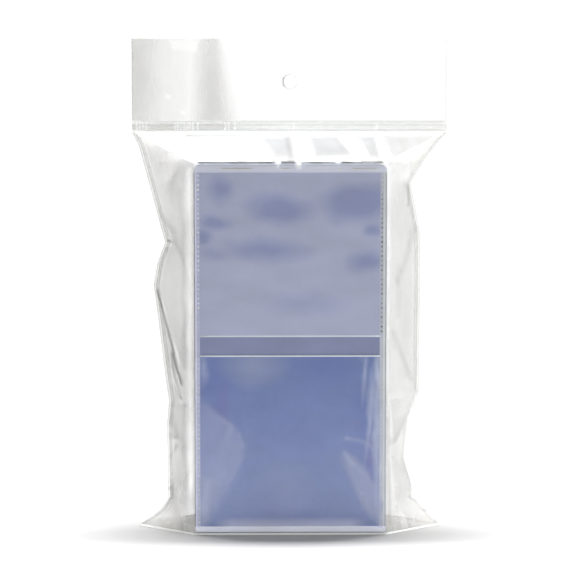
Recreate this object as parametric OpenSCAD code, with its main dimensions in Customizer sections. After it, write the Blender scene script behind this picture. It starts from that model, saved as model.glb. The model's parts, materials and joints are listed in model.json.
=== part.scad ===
// Pack of clear vinyl coin flips: a stack of two-pocket flips in a press-to-close hanging bag.
// Millimetres, +Z up, the front of the pack faces -Y, the origin is the middle of the base.

/* [Flips] */
// Width of one flip
flip_w = 50.8; // [40:0.1:65]
// Height of the lower pocket, from its welded outer edge to its mouth
lower_h = 47.6; // [35:0.1:60]
// Height of the upper pocket, from its welded outer edge to its mouth
upper_h = 45.6; // [35:0.1:60]
// Height of the bare fold band between the two pocket mouths
band_h = 5.2; // [3:0.1:10]
// Thickness of one vinyl sheet
sheet_t = 0.22; // [0.16:0.01:0.3]
// Space inside an empty pocket, between its two sheets
pocket_gap = 0.02; // [0.01:0.01:0.1]
// Space from one flip to the next
flip_gap = 0.04; // [0.02:0.01:0.15]
// Radius of a flip's four outer corners
corner_r = 1.6; // [0.6:0.1:5]
// Distance from a flip's edge to its pressed weld line
weld_inset = 1; // [0.5:0.1:2.5]
// Width of the pressed weld line
weld_line_w = 0.9; // [0.4:0.1:2]
// Depth to which the weld line is pressed into the pocket sheet
weld_line_d = 0.08; // [0.02:0.01:0.12]
// How far single flips stand out of line with the stack
jog = 0.12; // [0:0.01:0.2]
// Number of flips in the pack
flip_count = 50; // [20:1:50]

/* [Bag film] */
// Thickness of the film
film_t = 0.1; // [0.06:0.01:0.2]
// Space between the stack and the film in front of it and behind it
film_gap = 0.25; // [0.1:0.05:0.6]
// Space between the stack's sides and the folds of the film
side_gap = 0.3; // [0.25:0.05:0.8]
// Space between the floor of the bag and the flips
floor_gap = 0.15; // [0.05:0.05:0.6]
// Space between the top of the stack and the folds of the mouth
top_gap = 0.25; // [0.1:0.05:1]
// How far the flat bag is wider than the stack, on each side
edge_w = 16.7; // [12:0.1:22]
// Width of the welded seams
seam_w = 1.6; // [0.8:0.1:3]
// Height of the shoulders, from the stack's top edge to the zip's middle
shoulder_h = 9.8; // [7:0.1:16]
// Gap along the folds where a lip of the mouth turns
fold_gap = 0.3; // [0.2:0.05:0.5]

/* [Header] */
// Height of the header above the zip
header_h = 22.4; // [16:0.1:40]
// Radius of the hanging hole
hole_r = 1.85; // [1.5:0.05:4]
// Height of the hanging hole's middle above the header's lower edge
hole_rise = 10.6; // [6:0.1:11]

/* [Zip] */
// Height of the zip's two webs
zip_w = 2.6; // [2:0.1:5]
// Thickness of a web
web_t = 0.15; // [0.1:0.01:0.25]
// Length of zip left off at each side seam, where its ends are crushed flat
zip_end = 1.6; // [0.8:0.1:4]
// Half the thickness of the rib's stem
stem = 0.14; // [0.1:0.01:0.18]
// Half the width of the rib's arrow head at its barbs
barb = 0.38; // [0.3:0.01:0.42]
// Half the width of the arrow head at its tip
tip = 0.12; // [0.06:0.01:0.2]
// Length of the arrow head
head_l = 0.3; // [0.2:0.01:0.4]
// Play between the rib and the socket, all round
zip_play = 0.08; // [0.04:0.01:0.1]
// Thickness of the socket's two jaws
jaw_t = 0.28; // [0.2:0.01:0.4]
// Thickness of the hooks at the jaws' ends
hook_t = 0.2; // [0.12:0.01:0.26]

/* [Hidden] */
$fn = 48;
// Solids that join into one piece reach this far into each other
lap = film_t / 2;
// Extra length of a cutter past the face that it cuts
past = 1;

// Flips
flip_h = lower_h + band_h + upper_h;
pitch = 2 * sheet_t + pocket_gap + flip_gap;
stack_z = film_t + floor_gap;
// The flip that is drawn out is the middle one, and the mouth lies in its plane
pulled = ceil(flip_count / 2);
mouth_y = flip_y(pulled);

// Folded film round the stack
fold_x = flip_w / 2 + side_gap;
fold_y = flip_count * pitch / 2 - flip_gap / 2 + film_gap + film_t;
hinge_z = stack_z + flip_h + jog + top_gap;
zip_z = hinge_z + shoulder_h;
knee_z = zip_z - zip_w / 2;
seam_top = knee_z - fold_gap;
header_z = zip_z + zip_w / 2;
top_z = header_z + header_h;
half_w = fold_x + edge_w;
// A fin ends just under the zip's corner, at this share of the diagonal fold
fin_end = 0.96;

// Zip profile, measured from the mouth's plane towards the rear
hook_y = -(hook_t + zip_play + head_l) / 2;
barb_y = hook_y + hook_t + zip_play;
tip_y = barb_y + head_l;
web_y = tip_y + zip_play;
ply_y = web_y + web_t;
jaw_y = barb + zip_play;
slot_y = stem + zip_play;
zip_l = 2 * (half_w - zip_end);

// Each side seam, from the floor to the zip: [share of the height, share of edge_w beside the fold]
LEFT_SEAM = [
    [0, 0.93], [0.04, 0.59], [0.073, 0.455], [0.26, 0.467], [0.32, 0.43], [0.375, 0.48],
    [0.577, 0.635], [0.616, 0.67], [0.674, 0.6], [0.722, 0.48], [0.817, 0.64], [0.963, 0.89], [1, 1]
];
RIGHT_SEAM = [
    [0, 0.92], [0.049, 0.64], [0.073, 0.48], [0.096, 0.5], [0.174, 0.353], [0.28, 0.413],
    [0.344, 0.563], [0.576, 0.575], [0.747, 0.57], [0.872, 0.413], [0.934, 0.647], [1, 1]
];

function flip_name(i) = str("flip_", i < 10 ? "0" : "", i);

// Middle plane of a flip, between its sheets
function flip_y(i) = (i - (flip_count + 1) / 2) * pitch;
// Small steps out of line, which differ from flip to flip
function jog_x(i) = jog * sin(137.5 * i);
function jog_z(i) = jog * (1 + cos(222 * i)) / 2;

// Outer edge of a side seam at height z, measured from the middle
function seam_x(z, seam) = fold_x + edge_w * lookup(z / seam_top, seam);
// Heights at which a fin changes direction, with the hinge line among them
function heights(seam, low, high) = concat(
    [low],
    [for (p = seam) if (p[0] * seam_top > low && p[0] * seam_top < hinge_z) p[0] * seam_top],
    [hinge_z],
    [for (p = seam) if (p[0] * seam_top > hinge_z && p[0] * seam_top < high) p[0] * seam_top],
    [high]
);
// Share of the diagonal fold between the shoulder and the fin that lies below height z
function crease(z) = max(0, (z - hinge_z) / (seam_top - hinge_z));

// Section of a front right fin at height z, from the fold beside the stack to the seam.
// mouth is the mouth's plane, seen from the fin's own side.
function fin_ring(z, seam, mouth) =
    let (
        seam_edge = seam_x(z, seam) - seam_w,
        thick = film_t * norm([seam_edge - fold_x, fold_y + mouth]) / (seam_edge - fold_x),
        share = crease(z),
        x = fold_x - lap + share * (edge_w - seam_w),
        y = -fold_y + share * (fold_y + mouth - ply_y - film_t)
    )
    [[x, y, z], [seam_edge, mouth - thick, z], [seam_edge, mouth, z], [x, y + thick, z]];

// Section of the right seam at height z
function seam_ring(z, seam) =
    let (edge = seam_x(z, seam), low = mouth_y - film_t, high = mouth_y + film_t)
    [[edge - seam_w, low, z], [edge, low, z], [edge, high, z], [edge - seam_w, high, z]];

// Closed skin through four-cornered rings, from the lowest to the highest. Opposite sides are
// split along matching diagonals, so that a twisted film keeps its thickness.
module loft(rings) {
    last = len(rings) - 1;
    points = [for (ring = rings) for (p = ring) p];
    walls = [
        for (r = [0 : last - 1], i = [0 : 3])
            let (a = 4 * r + i, b = 4 * r + (i + 1) % 4)
            for (face = i < 2 ? [[a, a + 4, b + 4], [a, b + 4, b]] : [[a, a + 4, b], [a + 4, b + 4, b]]) face
    ];
    ends = [[0, 1, 2], [0, 2, 3], [4 * last + 2, 4 * last + 1, 4 * last], [4 * last + 3, 4 * last + 2, 4 * last]];
    polyhedron(points, concat(walls, ends));
}

// One fin: the film between the stack's corner and a side seam
module fin(seam, mouth) {
    high = hinge_z + fin_end * (seam_top - hinge_z);
    loft([for (z = heights(seam, film_t, high)) fin_ring(z, seam, mouth)]);
}

// One wall of the bag: face, two fins and half of the folded bottom, drawn as the front one
module wall(mouth) {
    seam_side = mouth - seam_w / 2;
    translate([-fold_x, -fold_y, 0]) cube([2 * fold_x, film_t, hinge_z - fold_gap / 2]);
    linear_extrude(film_t) polygon([
        [-fold_x, -fold_y], [fold_x, -fold_y],
        [seam_x(0, RIGHT_SEAM) - seam_w, seam_side], [seam_w - seam_x(0, LEFT_SEAM), seam_side]
    ]);
    fin(RIGHT_SEAM, mouth);
    mirror([1, 0, 0]) fin(LEFT_SEAM, mouth);
}

// One lip of the mouth: the sloping shoulder and the header above it, drawn as the front one
module lip(mouth) {
    rise = knee_z - hinge_z;
    run = fold_y - film_t + mouth - ply_y;
    low = fold_x - fold_gap;
    high = half_w - seam_w - fold_gap;
    translate([0, film_t / 2 - fold_y, hinge_z]) rotate([atan2(rise, run), 0, 0])
        translate([0, 0, -film_t / 2]) linear_extrude(film_t)
            polygon([[-low, fold_gap / 2], [low, fold_gap / 2], [high, norm([rise, run])], [-high, norm([rise, run])]]);
    difference() {
        translate([-half_w, mouth - ply_y - film_t, knee_z - lap]) cube([2 * half_w, film_t, top_z - knee_z + lap]);
        translate([0, mouth - ply_y - film_t / 2, header_z + hole_rise]) rotate([90, 0, 0])
            cylinder(r = hole_r, h = film_t + past, center = true);
    }
}

// A profile drawn in the Y-Z plane, run along X
module along_x(length) {
    rotate([90, 0, 90]) linear_extrude(length, center = true) children();
}

module front_film() {
    color([0.86, 0.88, 0.88, 0.35]) wall(mouth_y);
}

module rear_film() {
    color([0.8, 0.83, 0.84, 0.35]) mirror([0, 1, 0]) wall(-mouth_y);
}

module side_seams() {
    color([0.95, 0.96, 0.95, 0.6]) {
        loft([for (z = heights(RIGHT_SEAM, film_t, seam_top)) seam_ring(z, RIGHT_SEAM)]);
        mirror([1, 0, 0]) loft([for (z = heights(LEFT_SEAM, film_t, seam_top)) seam_ring(z, LEFT_SEAM)]);
    }
}

module bottom_seam() {
    left = seam_x(0, LEFT_SEAM);
    color([0.95, 0.96, 0.95, 0.6]) translate([-left, mouth_y - seam_w / 2, 0])
        cube([left + seam_x(0, RIGHT_SEAM), seam_w, film_t]);
}

module front_mouth_film() {
    color([0.9, 0.92, 0.92, 0.35]) lip(mouth_y);
}

module rear_mouth_film() {
    color([0.84, 0.87, 0.87, 0.35]) mirror([0, 1, 0]) lip(-mouth_y);
}

// Rib with an arrow head, on the front lip
module zip_rib_strip() {
    half = [
        [-ply_y, zip_w / 2], [-web_y, zip_w / 2], [-web_y, stem],
        [barb_y, stem], [barb_y, barb], [tip_y, tip]
    ];
    color([0.8, 0.82, 0.82]) translate([0, mouth_y, zip_z]) along_x(zip_l) mirrored_outline(half);
}

// Socket with two hooked jaws that grip the arrow head, on the rear lip
module zip_socket_strip() {
    half = [
        [ply_y, zip_w / 2], [web_y, zip_w / 2], [web_y, jaw_y + jaw_t], [hook_y + hook_t, jaw_y + jaw_t],
        [hook_y, jaw_y], [hook_y, slot_y + zip_play], [hook_y + hook_t / 2, slot_y], [hook_y + hook_t, slot_y],
        [hook_y + hook_t, jaw_y], [web_y, jaw_y]
    ];
    color([0.74, 0.77, 0.77]) translate([0, mouth_y, zip_z]) along_x(zip_l) mirrored_outline(half);
}

// A closed outline from its upper half, mirrored below the middle line
module mirrored_outline(half) {
    last = len(half) - 1;
    polygon(concat(half, [for (i = [last : -1 : 0]) [half[i][0], -half[i][1]]]));
}

// Outline of the back sheet, upright and centred over its lower edge
module back_outline() {
    translate([-flip_w / 2, corner_r]) square([flip_w, flip_h - 2 * corner_r]);
    translate([corner_r - flip_w / 2, 0]) square([flip_w - 2 * corner_r, flip_h]);
    for (x = [-1, 1], z = [corner_r, flip_h - corner_r])
        translate([x * (flip_w / 2 - corner_r), z]) circle(corner_r);
}

// Outline of a pocket sheet of the given height, with its welded edge below and its mouth above
module pocket_outline(pocket_h) {
    translate([-flip_w / 2, corner_r]) square([flip_w, pocket_h - corner_r]);
    translate([corner_r - flip_w / 2, 0]) square([flip_w - 2 * corner_r, pocket_h]);
    for (x = [-1, 1]) translate([x * (flip_w / 2 - corner_r), corner_r]) circle(corner_r);
}

// The weld line round three sides of a pocket, open at its mouth
module weld_outline(pocket_h) {
    outer_w = flip_w - 2 * weld_inset;
    inner_w = outer_w - 2 * weld_line_w;
    difference() {
        translate([-outer_w / 2, weld_inset]) square([outer_w, pocket_h - weld_inset + past]);
        translate([-inner_w / 2, weld_inset + weld_line_w]) square([inner_w, pocket_h + past]);
    }
}

// A pocket sheet with its pressed weld line, flat, with its front face up
module pocket_sheet(pocket_h) {
    difference() {
        linear_extrude(sheet_t) pocket_outline(pocket_h);
        translate([0, 0, sheet_t - weld_line_d]) linear_extrude(weld_line_d + past) weld_outline(pocket_h);
    }
}

// One flip: a back sheet and two pockets whose mouths face the fold band
module flip(i) {
    color([0.62, 0.66, 0.82, 0.8]) translate([jog_x(i), flip_y(i), stack_z + jog_z(i)]) rotate([90, 0, 0]) {
        translate([0, 0, -pocket_gap / 2 - sheet_t]) linear_extrude(sheet_t) back_outline();
        translate([0, 0, pocket_gap / 2]) pocket_sheet(lower_h);
        translate([0, flip_h, pocket_gap / 2]) mirror([0, 1, 0]) pocket_sheet(upper_h);
    }
}

front_film();
rear_film();
side_seams();
bottom_seam();
front_mouth_film();
rear_mouth_film();
zip_rib_strip();
zip_socket_strip();
for (i = [1 : flip_count]) flip(i);
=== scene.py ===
# The looks of a pack of clear vinyl coin flips in a film bag, in the frame of the CAD model.
# Lengths are in millimetres, and in metres for the lamps, the floor disc and the height of bumps.
import json
import math

import bmesh
import bpy
import numpy as np
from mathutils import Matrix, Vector, noise


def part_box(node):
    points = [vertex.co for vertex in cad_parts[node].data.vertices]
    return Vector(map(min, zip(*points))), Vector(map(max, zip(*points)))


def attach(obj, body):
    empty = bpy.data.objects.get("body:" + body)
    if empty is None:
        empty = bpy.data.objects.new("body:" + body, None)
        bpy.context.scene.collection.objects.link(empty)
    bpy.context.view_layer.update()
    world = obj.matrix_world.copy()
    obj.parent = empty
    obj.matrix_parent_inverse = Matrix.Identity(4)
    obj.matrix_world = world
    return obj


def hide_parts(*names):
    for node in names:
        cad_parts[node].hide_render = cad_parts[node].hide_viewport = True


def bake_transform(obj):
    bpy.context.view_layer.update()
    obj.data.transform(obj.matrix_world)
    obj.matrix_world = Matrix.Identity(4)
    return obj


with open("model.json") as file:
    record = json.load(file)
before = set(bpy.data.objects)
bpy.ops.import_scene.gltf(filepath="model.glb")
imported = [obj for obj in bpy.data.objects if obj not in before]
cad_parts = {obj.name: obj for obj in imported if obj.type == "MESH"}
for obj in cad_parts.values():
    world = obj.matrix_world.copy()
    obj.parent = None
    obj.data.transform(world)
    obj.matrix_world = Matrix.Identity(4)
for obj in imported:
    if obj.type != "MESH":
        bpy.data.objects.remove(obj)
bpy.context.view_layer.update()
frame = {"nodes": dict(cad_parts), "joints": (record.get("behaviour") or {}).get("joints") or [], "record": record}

MM = 0.001
LEFT = -1
RIGHT = 1
FRONT = -1
REAR = 1

# Places and sizes that the frame gives, in millimetres


def corners(node_name):
    """Lowest and highest corner of a CAD node."""
    low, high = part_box(node_name)
    return np.array(low) / MM, np.array(high) / MM


def height_of(entries, name):
    """Height of a joint or a mount."""
    return next(entry for entry in entries if entry["name"] == name)["pos_m"][2] / MM


wall_low = corners("front_film")[0]
rear_high = corners("rear_film")[1]
seam_low, seam_high = corners("side_seams")
lip_high = corners("front_mouth_film")[1]
zip_low, zip_high = corners("zip_rib_strip")
flip_low, flip_high = corners("flip_01")
back_flip_high = corners("flip_50")[1]
drawn_low = corners("flip_25")[0]

FILM_T = 0.1
SEAM_W = 1.6
MOUTH_Y = (seam_low[1] + seam_high[1]) / 2
FACE_Y = {FRONT: wall_low[1] + FILM_T / 2, REAR: rear_high[1] - FILM_T / 2}
HINGE_Z = height_of(frame["joints"], "front_lip_turn")
KNEE_Z = zip_low[2]
ZIP_TOP_Z = zip_high[2]
TOP_Z = lip_high[2]
HALF_W = lip_high[0]
SEAM_TOP_Z = seam_high[2]
PLY_Y = MOUTH_Y - lip_high[1]
PLY_MIDDLE = PLY_Y + FILM_T / 2
FOLD_X = 25.7 - FILM_T / 2
HOLE_Z = height_of(frame["record"]["mounts"], "hang_hole")
HOLE_R = 1.85
FLIP_FACE_Y = flip_low[1]
FLIP_BACK_Y = back_flip_high[1]
LOWER_MOUTH_Z = 47.85
UPPER_MOUTH_Z = 53.05
# Height of the soft step at a pocket's mouth
MOUTH_SOFT = 0.25
# Rise of the slanted crease from the lip's hinge to the zip's corner
CREASE_RISE = KNEE_Z - 0.3 - HINGE_Z
# Sheen of a film's cut edge, and the most that any look of a film may be
RIM_SHEEN = 0.1
LOOK_LIMIT = 0.95


def seam_outline(side):
    """Heights and outer edges of one side seam."""
    points = np.array([v.co for v in frame["nodes"]["side_seams"].data.vertices]) / MM
    own = points[points[:, 0] * side > 0]
    heights = np.unique(own[:, 2].round(2))
    edges = [np.abs(own[np.abs(own[:, 2] - h) < 0.02][:, 0]).max() for h in heights]
    return heights, np.array(edges)


SEAMS = {side: seam_outline(side) for side in (LEFT, RIGHT)}


def seam_x(side, z):
    """Distance of a side seam's outer edge from the middle, at heights z."""
    return np.interp(z, *SEAMS[side])


# Materials


def new_material(name):
    material = bpy.data.materials.new(name)
    material.use_nodes = True
    material.node_tree.nodes.clear()
    return material, material.node_tree


def node(tree, kind, inputs=None, **settings):
    """A shader node, its inputs set to numbers, vectors and colours or linked to sockets."""
    made = tree.nodes.new("ShaderNode" + kind)
    for key, value in settings.items():
        setattr(made, key, value)
    for key, value in (inputs or {}).items():
        place = made.inputs[key]
        if isinstance(value, bpy.types.NodeSocket):
            tree.links.new(value, place)
        else:
            place.default_value = (*value, 1.0) if place.type == "RGBA" else value
    return made


def calc(tree, operation, *values, clamp=False):
    """A Math node on numbers and sockets, and its result."""
    return node(tree, "Math", dict(enumerate(values)), operation=operation, use_clamp=clamp).outputs[0]


def attribute(tree, name):
    return node(tree, "Attribute", attribute_name=name).outputs["Fac"]


def places_mm(tree):
    """The object's own coordinates in millimetres."""
    coords = node(tree, "TexCoord").outputs["Object"]
    return node(tree, "VectorMath", {0: coords, "Scale": 1 / MM}, operation="SCALE").outputs[0]


def noise_of(tree, vector, scale, detail=3.0, stretch=(1, 1, 1)):
    mapped = node(tree, "Mapping", {"Vector": vector, "Scale": stretch}).outputs[0]
    return node(tree, "TexNoise", {"Vector": mapped, "Scale": scale, "Detail": detail}).outputs["Fac"]


def mix_colour(tree, factor, first, second):
    return node(tree, "Mix", {0: factor, 6: first, 7: second}, data_type="RGBA").outputs[2]


def mix_shader(tree, factor, first, second):
    return node(tree, "MixShader", {0: factor, 1: first, 2: second}).outputs[0]


def bump(tree, height, strength, distance):
    return node(tree, "Bump", {"Height": height, "Strength": strength, "Distance": distance}).outputs[0]


def step_up(tree, value, low, high):
    """0 at low and beyond it, 1 at high and beyond it."""
    inputs = {"Value": value, "From Min": low, "From Max": high}
    return node(tree, "MapRange", inputs, interpolation_type="SMOOTHSTEP").outputs[0]


def srgb(red, green, blue):
    """Linear colour from the 0 to 255 values that a picture shows."""
    shown = [value / 255 for value in (red, green, blue)]
    return tuple(v / 12.92 if v < 0.04 else ((v + 0.055) / 1.055) ** 2.4 for v in shown)


SHADE_GREY = (0.13, 0.13, 0.13)
COOL_VEIL = (0.68, 0.74, 0.98)
# White of the film's marks: partly stress whitening, partly painted highlights and glints
STRESS_WHITE_AND_GLINT = (0.96, 0.97, 0.96)


def film_material(name, clear, veil, roughness):
    """Clear film: what is behind it, a reflection, a grey veil that turns to painted shade where the tone
    attribute is low, and white marks that are partly stress whitening and partly painted highlights and glints.
    """
    material, tree = new_material(name)
    places = places_mm(tree)
    wave = bump(tree, noise_of(tree, places, 0.35, 2.0, (1, 1, 0.45)), 0.2, 0.0004)
    behind = node(tree, "BsdfTransparent", {"Color": clear}).outputs[0]
    gloss = node(tree, "BsdfGlossy", {"Color": (1, 1, 1), "Roughness": roughness, "Normal": wave}).outputs[0]
    facing = node(tree, "LayerWeight", {"Blend": 0.5}).outputs["Facing"]
    reflected = calc(tree, "MULTIPLY_ADD", calc(tree, "POWER", facing, 5.0), 0.8, 0.025)
    shine = calc(tree, "MULTIPLY", reflected, attribute(tree, "sheen"), clamp=True)
    clear_film = mix_shader(tree, shine, behind, gloss)
    tint = mix_colour(tree, attribute(tree, "cool"), veil, COOL_VEIL)
    # Where the tone attribute is low, the veil turns to a grey of painted shade
    tint = mix_colour(tree, attribute(tree, "tone"), SHADE_GREY, tint)
    grey = node(tree, "BsdfDiffuse", {"Color": tint}).outputs[0]
    cloud = calc(tree, "MULTIPLY_ADD", noise_of(tree, places, 0.12, 3.0, (1, 1, 0.5)), 0.7, 0.65)
    amount = calc(tree, "MULTIPLY", attribute(tree, "haze"), cloud, clamp=True)
    veiled = mix_shader(tree, amount, clear_film, grey)
    white = node(tree, "BsdfDiffuse", {"Color": STRESS_WHITE_AND_GLINT}).outputs[0]
    node(tree, "OutputMaterial", {0: mix_shader(tree, attribute(tree, "mark"), veiled, white)})
    return material


FILM = film_material("clear_film", (0.997, 0.998, 0.997), (0.9, 0.89, 0.865), 0.1)
WELD = film_material("welded_film", (0.99, 0.992, 0.99), (0.92, 0.91, 0.89), 0.18)
ZIP = film_material("zip_film", (0.995, 0.997, 0.995), (0.9, 0.9, 0.9), 0.22)


def soft_spot(tree, vector, x, z, half_x, half_z, lean):
    """1 in the middle of a leaning ellipse, falling to 0 at its edge."""
    inputs = {
        "Vector": vector,
        "Location": (x, 0, z),
        "Rotation": (0, math.radians(lean), 0),
        "Scale": (half_x, 1000, half_z),
    }
    mapped = node(tree, "Mapping", inputs, vector_type="TEXTURE").outputs[0]
    return node(tree, "TexGradient", {0: mapped}, gradient_type="SPHERICAL").outputs["Fac"]


SPOT_GAIN = 1.6


def spots(tree, vector, places):
    """Soft spots at several places, joined."""
    total = None
    for *ellipse, strength in places:
        spot = calc(tree, "MULTIPLY", soft_spot(tree, vector, *ellipse), SPOT_GAIN * strength, clamp=True)
        total = spot if total is None else calc(tree, "MAXIMUM", total, spot)
    return total


def wobble(tree, vector, amount):
    """Coordinates moved about by noise, so that soft spots have uneven edges."""
    shift = node(tree, "TexNoise", {"Vector": vector, "Scale": 0.16, "Detail": 1.5}).outputs["Color"]
    centred = node(tree, "VectorMath", {0: shift, 1: (0.5, 0.5, 0.5)}, operation="SUBTRACT").outputs[0]
    inputs = {0: centred, 1: (amount, 0, amount), 2: vector}
    return node(tree, "VectorMath", inputs, operation="MULTIPLY_ADD").outputs[0]


# Soft spots on the front flip: x, z, half width, half height, lean in degrees, strength
UPPER_BLOTCHES = (
    (-19.9, 83.6, 5.5, 2.8, 0, 1), (-22.6, 79.6, 2.8, 3, 0, 0.9), (-2.8, 87, 11, 5, 4, 1),
    (17.5, 88.6, 11.5, 6.4, -4, 1.2), (21.5, 81.5, 3, 2.4, 0, 0.9), (19.7, 73, 6, 4, 0, 0.9),
    (-6.4, 76.2, 14, 4.2, 2, 0.8), (-20, 75, 6, 2.5, 0, 0.4), (-18.5, 92, 4.5, 4.5, 0, 0.8),
    (4, 62, 14, 4, 0, 0.35),
)
LOWER_BLUE = (
    (10, 47, 11, 9, 0, 0.9), (19, 30, 5, 12, 0, 0.7), (-21, 42, 6, 8, 0, 0.7),
    (0, 26, 12, 9, 0, 0.4), (2, 4, 21, 4, 0, 0.8),
)
LOWER_GREY = ((-9.5, 45.5, 10.5, 7.5, 0, 0.7), (-1, 13, 9, 9, 0, 0.2))
LOWER_PURPLE = ((-18.2, 34, 2.2, 8, 0, 0.55), (21.5, 20, 2, 9, 4, 0.6))
LOWER_PALE_SPOTS = (
    (-20.5, 14, 6, 15, 26, 0.12), (-23.4, 45, 1.6, 6, 0, 0.2), (-23.4, 7, 2.2, 9, 0, 0.3),
    (23.2, 42, 1.6, 12, 0, 0.45), (23.4, 20, 1.4, 26, 0, 0.25), (21.5, 38, 1.5, 9, 3, 0.28),
)
LIGHT_LINES = (
    (19.7, 43, 0.9, 10, 4, 0.22), (21.2, 30, 1, 13, 7, 0.24), (23.2, 30, 2.4, 12, 4, 0.28),
    (18.7, 51, 1.2, 5, 0, 0.3),
)


def between(tree, value, low, high, edge=0.06):
    """1 between two values, with a soft step at each."""
    rise = step_up(tree, value, low - edge, low + edge)
    fall = step_up(tree, value, high + edge, high - edge)
    return calc(tree, "MULTIPLY", rise, fall)


def tinted(tree, colour, mask, tint, strength=1.0):
    """A colour with a tint laid on it where a mask is 1."""
    if strength < 1:
        mask = calc(tree, "MULTIPLY", mask, strength)
    return mix_colour(tree, mask, colour, tint)


LOWER_COLOUR = srgb(97, 113, 160)
BAND_COLOUR = srgb(118, 125, 156)
UPPER_COLOUR = srgb(158, 163, 186)
LIGHT_COLOUR = srgb(186, 192, 206)
WELD_STRENGTH = 0.85
# Bands along the flips' left and right edges, the outermost one on each side a painted shade: from x, to x, colour
SIDE_BANDS = (
    (-25.6, -25.25, srgb(118, 121, 124)), (-25.25, -24.8, srgb(205, 205, 222)),
    (-24.8, -24.0, srgb(168, 170, 192)), (23.7, 24.55, srgb(175, 178, 187)),
    (24.55, 25.1, srgb(195, 198, 198)), (25.1, 25.6, srgb(158, 162, 164)),
)
# Bands along the top weld: from z, to z, colour
TOP_BANDS = ((97.7, 98.05, srgb(200, 202, 210)), (98.3, 99.5, srgb(178, 181, 190)))


def pocket_colour(tree, places, height, detailed):
    """The two pockets and the bare band between them, with the front flip's soft spots."""
    over_lower = step_up(tree, height, LOWER_MOUTH_Z - MOUTH_SOFT, LOWER_MOUTH_Z + MOUTH_SOFT)
    over_band = step_up(tree, height, UPPER_MOUTH_Z - MOUTH_SOFT, UPPER_MOUTH_Z + MOUTH_SOFT)
    colour = mix_colour(tree, over_lower, LOWER_COLOUR, BAND_COLOUR)
    colour = tinted(tree, colour, over_band, UPPER_COLOUR)
    if not detailed:
        return colour
    moved = wobble(tree, places, 3.5)
    above = step_up(tree, height, 52.8, 53.6)
    below = step_up(tree, height, 48.2, 47.6)
    for region, vector, shapes, tint in (
        (above, moved, UPPER_BLOTCHES, srgb(129, 137, 172)),
        (below, moved, LOWER_BLUE, srgb(92, 107, 158)),
        (below, moved, LOWER_GREY, srgb(122, 132, 164)),
        (below, moved, LOWER_PURPLE, srgb(98, 102, 156)),
        (below, moved, LOWER_PALE_SPOTS, LIGHT_COLOUR),
        (below, places, LIGHT_LINES, LIGHT_COLOUR),
    ):
        mask = calc(tree, "MULTIPLY", region, spots(tree, vector, shapes))
        colour = tinted(tree, colour, mask, tint)
    return colour


def weld_colour(tree, colour, x, height):
    """The welds along the four edges, with a painted shade at the outer side edges, and the glow above the bottom
    one.
    """
    for low, high, tint in SIDE_BANDS:
        colour = tinted(tree, colour, between(tree, x, low, high), tint)
    colour = tinted(tree, colour, step_up(tree, height, 96.4, 96.8), srgb(206, 208, 219), WELD_STRENGTH)
    inner = step_up(tree, calc(tree, "ABSOLUTE", x), 21.5, 15.0)
    glow = calc(tree, "MULTIPLY", step_up(tree, height, 5.0, 2.2), inner)
    colour = tinted(tree, colour, glow, srgb(172, 176, 200), WELD_STRENGTH)
    colour = tinted(tree, colour, step_up(tree, height, 2.4, 2.0), srgb(240, 242, 253), WELD_STRENGTH)
    for low, high, tint in TOP_BANDS:
        colour = tinted(tree, colour, between(tree, height, low, high), tint)
    return colour


def edge_colour(tree, colour, places, depth, height):
    """The stack's top faces, found by their upward normal, pale at the front and painted shade towards the back,
    the layers seen on its sides, and painted shade along its foot.
    """
    normal = node(tree, "SeparateXYZ", {0: node(tree, "NewGeometry").outputs["Normal"]})
    # Top faces: pale towards the front, painted shade towards the back
    crest = mix_colour(tree, step_up(tree, depth, 8.0, 9.5), srgb(205, 208, 217), srgb(112, 114, 122))
    colour = tinted(tree, colour, step_up(tree, normal.outputs[2], 0.5, 0.9), crest)
    layers = step_up(tree, noise_of(tree, places, 1.7, 2.0, (0.02, 1, 0.02)), 0.35, 0.65)
    on_rim = step_up(tree, calc(tree, "ABSOLUTE", normal.outputs[1]), 0.7, 0.4)
    colour = tinted(tree, colour, calc(tree, "MULTIPLY", on_rim, layers), srgb(72, 80, 112), 0.6)
    # Painted shade along the stack's foot
    return tinted(tree, colour, step_up(tree, height, 0.75, 0.6), srgb(108, 112, 124))


def vinyl_material(name, detailed, alpha=1.0):
    """Bluish clear vinyl, laid on many more sheets."""
    material, tree = new_material(name)
    places = places_mm(tree)
    parts = node(tree, "SeparateXYZ", {0: places})
    x, depth, height = (parts.outputs[k] for k in range(3))
    colour = pocket_colour(tree, places, height, detailed)
    colour = weld_colour(tree, colour, x, height)
    colour = edge_colour(tree, colour, places, depth, height)
    grain = calc(tree, "MULTIPLY_ADD", noise_of(tree, places, 0.14, 3.0, (0.6, 1, 1.4)), 0.4, 1.25)
    vinyl = node(tree, "BsdfPrincipled", {
        "Base Color": node(tree, "VectorMath", {0: colour, "Scale": grain}, operation="SCALE").outputs[0],
        "Roughness": 0.28,
        "IOR": 1.5,
        "Alpha": alpha,
        "Normal": bump(tree, noise_of(tree, places, 0.3), 0.25, 0.0005),
    })
    node(tree, "OutputMaterial", {0: vinyl.outputs[0]})
    return material


FRONT_VINYL = vinyl_material("vinyl_front", True)
STACK_VINYL = vinyl_material("vinyl_stack", False)
DRAWN_VINYL = vinyl_material("vinyl_drawn", False, 0.5)


def plain_material(name, colour, roughness):
    """A solid material whose colour varies a little."""
    material, tree = new_material(name)
    tone = calc(tree, "MULTIPLY_ADD", noise_of(tree, places_mm(tree), 1.5), 0.3, 0.35)
    lighter = tuple(min(1.0, c * 1.15) for c in colour)
    inputs = {"Base Color": mix_colour(tree, tone, colour, lighter), "Roughness": roughness}
    node(tree, "OutputMaterial", {0: node(tree, "BsdfPrincipled", inputs).outputs[0]})
    return material


# Weld dots in two copies: near-white painted lit, and grey-green painted shade
KNURL = plain_material("weld_knurl", srgb(250, 251, 253), 0.25)
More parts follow.
